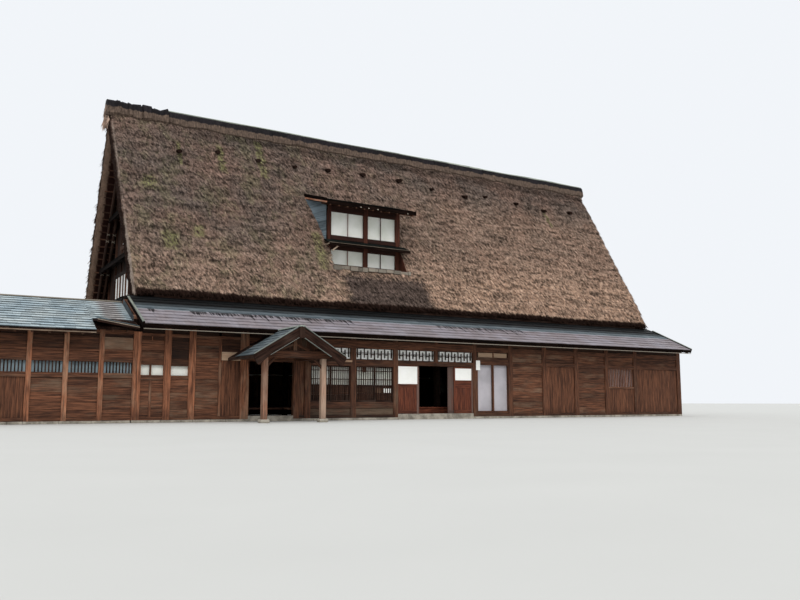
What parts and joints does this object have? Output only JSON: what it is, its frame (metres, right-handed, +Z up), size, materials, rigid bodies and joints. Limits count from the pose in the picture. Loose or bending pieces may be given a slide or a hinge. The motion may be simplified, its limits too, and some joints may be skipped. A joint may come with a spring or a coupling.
{
  "type": "minka farmhouse",
  "caption": "Thatched farmhouse with a steep gabled roof, a dormer, shingled lower roofs, board walls, sliding entrance doors, a gabled porch and a side annex.",
  "frame": {"origin": "foot of the front wall's outer face at ground level, halfway along the main house, on the underside of the entrance threshold", "axes": "+X along the ridge, to the right as seen from the front; +Y from the front wall to the back; +Z up"},
  "size_m": [31.875, 16.11, 12.5386],
  "materials": {
    "thatch": "weathered reed thatch",
    "ridge_bark": "dark bark and thatch",
    "roof_shingle": "weathered grey shingle boards",
    "wall_board": "weathered brown boards",
    "post_timber": "weathered timber",
    "window_paper": "matt white paper",
    "floor_board": "worn reddish boards",
    "door_wood": "brown door boards",
    "footing_stone": "rough grey stone",
    "trim_wood": "light weathered trim"
  },
  "bodies": {
    "house": {"annex_back_wall": "wall_board", "annex_end_wall": "wall_board", "annex_floor": "floor_board", "annex_front_wall": "wall_board", "annex_hood": "roof_shingle", "annex_roof": "roof_shingle", "annex_window_paper": "window_paper", "attic_floor_lower": "floor_board", "attic_floor_upper": "floor_board", "back_pent_roof": "roof_shingle", "back_wall": "wall_board", "dormer_middle_roof": "roof_shingle", "dormer_paper": "window_paper", "dormer_roof": "roof_shingle", "dormer_sill": "trim_wood", "dormer_walls": "post_timber", "entrance_head": "wall_board", "entrance_sill": "footing_stone", "front_pent_roof": "roof_shingle", "front_wall_lattice": "wall_board", "front_wall_left": "wall_board", "front_wall_right": "wall_board", "gable_foot_roof_left": "roof_shingle", "gable_foot_roof_right": "roof_shingle", "gable_middle_roof_left": "roof_shingle", "gable_middle_roof_right": "roof_shingle", "gable_paper_left": "window_paper", "gable_paper_right": "window_paper", "gable_upper_roof_left": "roof_shingle", "gable_upper_roof_right": "roof_shingle", "gable_wall_left": "wall_board", "gable_wall_right": "wall_board", "ground_floor": "floor_board", "left_wall": "wall_board", "left_wall_paper": "window_paper", "main_frame_back": "post_timber", "main_frame_front": "post_timber", "porch_bargeboards": "trim_wood", "porch_door_head": "wall_board", "porch_door_sill": "footing_stone", "porch_frame": "post_timber", "porch_post_left": "post_timber", "porch_post_right": "post_timber", "porch_roof": "roof_shingle", "ridge_cap": "ridge_bark", "right_wall": "wall_board", "right_wall_paper": "window_paper", "thatch_back": "thatch", "thatch_front": "thatch", "window_paper_back": "window_paper", "window_paper_left": "window_paper", "window_paper_middle": "window_paper", "window_paper_right": "window_paper"},
    "door_leaf_1": {"door_leaf_1": "door_wood"},
    "door_leaf_2": {"door_leaf_2": "door_wood"},
    "door_leaf_3": {"door_leaf_3": "door_wood"},
    "door_leaf_4": {"door_leaf_4": "door_wood"}
  },
  "joints": [
    {"name": "leaf_1_slide", "type": "slide", "parent": "house", "child": "door_leaf_1", "axis": [1, 0, 0], "range_m": [0, 0.83]},
    {"name": "leaf_2_slide", "type": "slide", "parent": "house", "child": "door_leaf_2", "axis": [1, 0, 0], "range_m": [-0.069, 0.761]},
    {"name": "leaf_3_slide", "type": "slide", "parent": "house", "child": "door_leaf_3", "axis": [1, 0, 0], "range_m": [-0.561, 0.269]},
    {"name": "leaf_4_slide", "type": "slide", "parent": "house", "child": "door_leaf_4", "axis": [1, 0, 0], "range_m": [-0.83, 0]}
  ]
}
